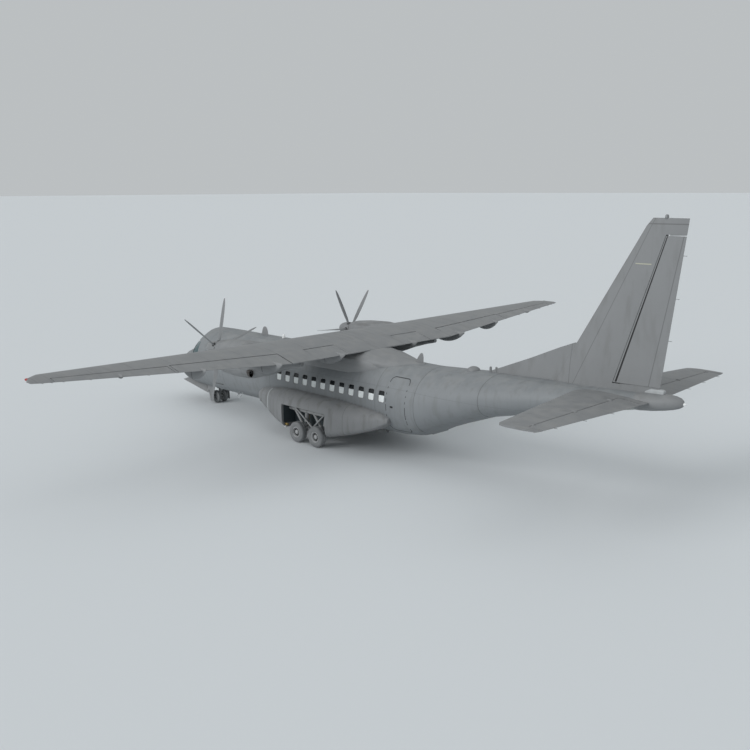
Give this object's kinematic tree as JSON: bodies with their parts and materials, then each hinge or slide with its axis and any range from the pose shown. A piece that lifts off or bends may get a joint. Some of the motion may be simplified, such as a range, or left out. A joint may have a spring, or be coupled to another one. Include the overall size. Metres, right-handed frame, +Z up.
{
  "type": "twin propeller military transport plane",
  "caption": "High-wing twin turboprop military transport plane, parked on its gear, with six-blade propellers, rear cargo ramp, moving control surfaces, flaps and steerable nose wheels",
  "frame": {"origin": "on the ground below the middle of the aircraft's length and span", "axes": "+X to port across the span, +Y towards the tail, +Z up"},
  "size_m": [25.81, 24.52, 8.62],
  "materials": {
    "airframe": "matte",
    "composite": "matte",
    "wing_skin": "matte",
    "interior": "matte",
    "gear_steel": "satin",
    "wheel": "matte",
    "engine_block": "satin"
  },
  "bodies": {
    "airframe": {"radome": "composite", "nose_fuselage": "airframe", "flight_deck": "interior", "cabin_floor": "interior", "crown_panel": "airframe", "side_panel_left": "airframe", "side_panel_right": "airframe", "belly_panel": "airframe", "rear_fuselage": "composite", "tail_cone": "composite", "wing_fairing": "composite", "wing_centre": "wing_skin", "wing_outer_left": "wing_skin", "wing_outer_right": "wing_skin", "nacelle_left": "airframe", "nacelle_right": "airframe", "engine_left": "engine_block", "engine_right": "engine_block", "fin": "composite", "stabiliser_left": "composite", "stabiliser_right": "composite", "sponson_left": "composite", "sponson_right": "composite", "para_door_left": "airframe", "para_door_right": "airframe", "main_gear_left": "gear_steel", "main_gear_right": "gear_steel", "nose_gear_leg": "gear_steel", "nose_gear_door_left": "airframe", "nose_gear_door_right": "airframe"},
    "propeller_left": {"propeller_left": "composite"},
    "propeller_right": {"propeller_right": "composite"},
    "nose_gear_fork": {"nose_gear_fork": "gear_steel"},
    "nose_wheels": {"nose_wheels": "wheel"},
    "main_wheel_left_front": {"main_wheel_left_front": "wheel"},
    "main_wheel_left_rear": {"main_wheel_left_rear": "wheel"},
    "main_wheel_right_front": {"main_wheel_right_front": "wheel"},
    "main_wheel_right_rear": {"main_wheel_right_rear": "wheel"},
    "rudder": {"rudder": "composite"},
    "elevator_left": {"elevator_left": "composite"},
    "elevator_right": {"elevator_right": "composite"},
    "aileron_left": {"aileron_left": "composite"},
    "aileron_right": {"aileron_right": "composite"},
    "flap_inboard_left": {"flap_inboard_left": "composite"},
    "flap_inboard_right": {"flap_inboard_right": "composite"},
    "flap_outboard_left": {"flap_outboard_left": "composite"},
    "flap_outboard_right": {"flap_outboard_right": "composite"},
    "cargo_ramp": {"cargo_ramp": "composite"},
    "upper_cargo_door": {"upper_cargo_door": "composite"},
    "crew_door": {"crew_door": "composite"}
  },
  "joints": [
    {"name": "propeller_left_spin", "type": "hinge", "parent": "airframe", "child": "propeller_left", "pos_m": [3.5, -4.89, 3.46], "axis": [0, 1, 0], "continuous": true},
    {"name": "propeller_right_spin", "type": "hinge", "parent": "airframe", "child": "propeller_right", "pos_m": [-3.5, -4.89, 3.46], "axis": [0, 1, 0], "continuous": true},
    {"name": "nose_steering", "type": "hinge", "parent": "airframe", "child": "nose_gear_fork", "pos_m": [0, -9.84, 0.8], "axis": [0, 0, 1], "range_deg": [-48, 48]},
    {"name": "nose_wheels_spin", "type": "hinge", "parent": "nose_gear_fork", "child": "nose_wheels", "pos_m": [0, -9.84, 0.28], "axis": [1, 0, 0], "continuous": true},
    {"name": "main_wheel_left_front_spin", "type": "hinge", "parent": "airframe", "child": "main_wheel_left_front", "pos_m": [1.97, -2.08, 0.4], "axis": [1, 0, 0], "continuous": true},
    {"name": "main_wheel_left_rear_spin", "type": "hinge", "parent": "airframe", "child": "main_wheel_left_rear", "pos_m": [1.97, -1.01, 0.4], "axis": [1, 0, 0], "continuous": true},
    {"name": "main_wheel_right_front_spin", "type": "hinge", "parent": "airframe", "child": "main_wheel_right_front", "pos_m": [-1.97, -2.08, 0.4], "axis": [1, 0, 0], "continuous": true},
    {"name": "main_wheel_right_rear_spin", "type": "hinge", "parent": "airframe", "child": "main_wheel_right_rear", "pos_m": [-1.97, -1.01, 0.4], "axis": [1, 0, 0], "continuous": true},
    {"name": "rudder_hinge", "type": "hinge", "parent": "airframe", "child": "rudder", "pos_m": [0, 10.875, 5.975], "axis": [0, 0.3057, 0.9521], "range_deg": [-25, 25]},
    {"name": "elevator_left_hinge", "type": "hinge", "parent": "airframe", "child": "elevator_left", "pos_m": [2.8625, 10.68284, 3.43], "axis": [-1, 0.0053, 0], "range_deg": [-25, 20]},
    {"name": "elevator_right_hinge", "type": "hinge", "parent": "airframe", "child": "elevator_right", "pos_m": [-2.8625, 10.68284, 3.43], "axis": [-1, -0.0053, 0], "range_deg": [-25, 20]},
    {"name": "aileron_left_hinge", "type": "hinge", "parent": "airframe", "child": "aileron_left", "pos_m": [10.3325, -0.77369, 4.01958], "axis": [-0.9976, 0.0476, -0.0501], "range_deg": [-25, 25]},
    {"name": "aileron_right_hinge", "type": "hinge", "parent": "airframe", "child": "aileron_right", "pos_m": [-10.3325, -0.77369, 4.01958], "axis": [-0.9976, -0.0476, 0.0501], "range_deg": [-25, 25]},
    {"name": "flap_inboard_left_hinge", "type": "hinge", "parent": "airframe", "child": "flap_inboard_left", "pos_m": [1.9, -0.5065, 3.2681], "axis": [-1, 0, 0], "range_deg": [0, 23]},
    {"name": "flap_inboard_right_hinge", "type": "hinge", "parent": "airframe", "child": "flap_inboard_right", "pos_m": [-1.9, -0.5065, 3.2681], "axis": [-1, 0, 0], "range_deg": [0, 23]},
    {"name": "flap_outboard_left_hinge", "type": "hinge", "parent": "airframe", "child": "flap_outboard_left", "pos_m": [4.75, -0.5337, 3.30883], "axis": [-0.9971, 0.0431, -0.0634], "range_deg": [0, 23]},
    {"name": "flap_outboard_right_hinge", "type": "hinge", "parent": "airframe", "child": "flap_outboard_right", "pos_m": [-4.75, -0.5337, 3.30883], "axis": [-0.9971, -0.0431, 0.0634], "range_deg": [0, 23]},
    {"name": "cargo_ramp_hinge", "type": "hinge", "parent": "airframe", "child": "cargo_ramp", "pos_m": [0, 3.345, 1.03], "axis": [-1, 0, 0], "range_deg": [0, 41]},
    {"name": "upper_cargo_door_hinge", "type": "hinge", "parent": "airframe", "child": "upper_cargo_door", "pos_m": [0, 8.328, 2.69], "axis": [-1, 0, 0], "range_deg": [0, 24]},
    {"name": "crew_door_hinge", "type": "hinge", "parent": "airframe", "child": "crew_door", "pos_m": [1.17232, -8.23, 1.28], "axis": [0, 1, 0], "range_deg": [0, 90]}
  ],
  "couplings": [
    {"joint": "elevator_right_hinge", "follows": "elevator_left_hinge", "ratio": 1},
    {"joint": "aileron_right_hinge", "follows": "aileron_left_hinge", "ratio": -1},
    {"joint": "flap_inboard_right_hinge", "follows": "flap_inboard_left_hinge", "ratio": 1},
    {"joint": "flap_outboard_left_hinge", "follows": "flap_inboard_left_hinge", "ratio": 1},
    {"joint": "flap_outboard_right_hinge", "follows": "flap_inboard_left_hinge", "ratio": 1}
  ]
}
